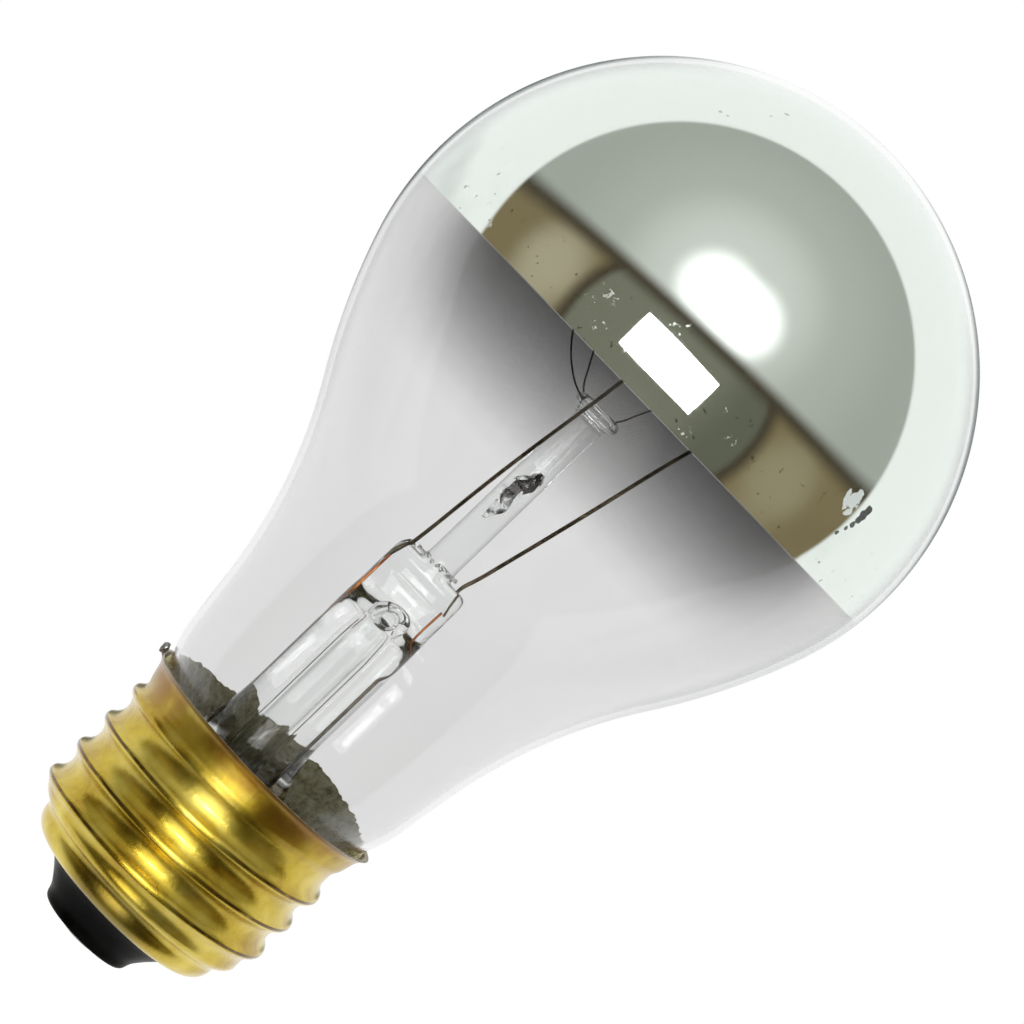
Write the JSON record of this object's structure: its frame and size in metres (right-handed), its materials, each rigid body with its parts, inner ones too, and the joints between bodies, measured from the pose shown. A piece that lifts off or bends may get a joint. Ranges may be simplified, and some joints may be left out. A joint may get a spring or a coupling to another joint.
{
  "type": "half mirrored incandescent light bulb",
  "caption": "Clear pear-shaped incandescent lamp with a mirrored crown, a glass stem carrying an arc filament, and a brass knuckle-thread screw cap.",
  "frame": {"origin": "tip of the solder on the centre contact, on the axis of the screw cap", "axes": "+Z along the bulb's axis from the cap to the crown, -Y towards the viewer of the picture, +X to the viewer's right when the crown is up"},
  "size_m": [0.0588, 0.0588, 0.1053],
  "materials": {
    "cap_brass": "polished brass, slightly tarnished near the rim and in the thread roots",
    "black_glass": "glossy black moulded glass",
    "eyelet_brass": "plain brass",
    "solder": "dull grey solder with darker flux",
    "clear_glass": "clear blown glass",
    "stem_glass": "clear fused glass tube and rod",
    "mirror_film": "silver mirror film with fine pinholes",
    "cement": "granular grey-brown basing cement",
    "copper_sheath": "copper-sheathed seal wire, oxidised red near its ends",
    "lead_wire": "dark drawn nickel-iron wire",
    "support_wire": "fine drawn molybdenum wire",
    "tungsten": "grey coiled tungsten wire"
  },
  "bodies": {
    "root": {"screw_shell": "cap_brass", "insulator": "black_glass", "contact_eyelet": "eyelet_brass", "contact_lead": "lead_wire", "centre_solder": "solder", "side_lead": "lead_wire", "glass_envelope": "clear_glass", "mirror_coating": "mirror_film", "basing_cement": "cement", "side_solder": "solder", "seal_wire_left": "copper_sheath", "seal_wire_right": "copper_sheath", "inner_lead_left": "lead_wire", "inner_lead_right": "lead_wire", "filament": "tungsten", "support_wire_left": "support_wire", "support_wire_rear": "support_wire", "support_wire_right": "support_wire", "arbor_rod": "stem_glass", "exhaust_tube": "stem_glass", "stem_flare": "stem_glass"}
  },
  "joints": []
}
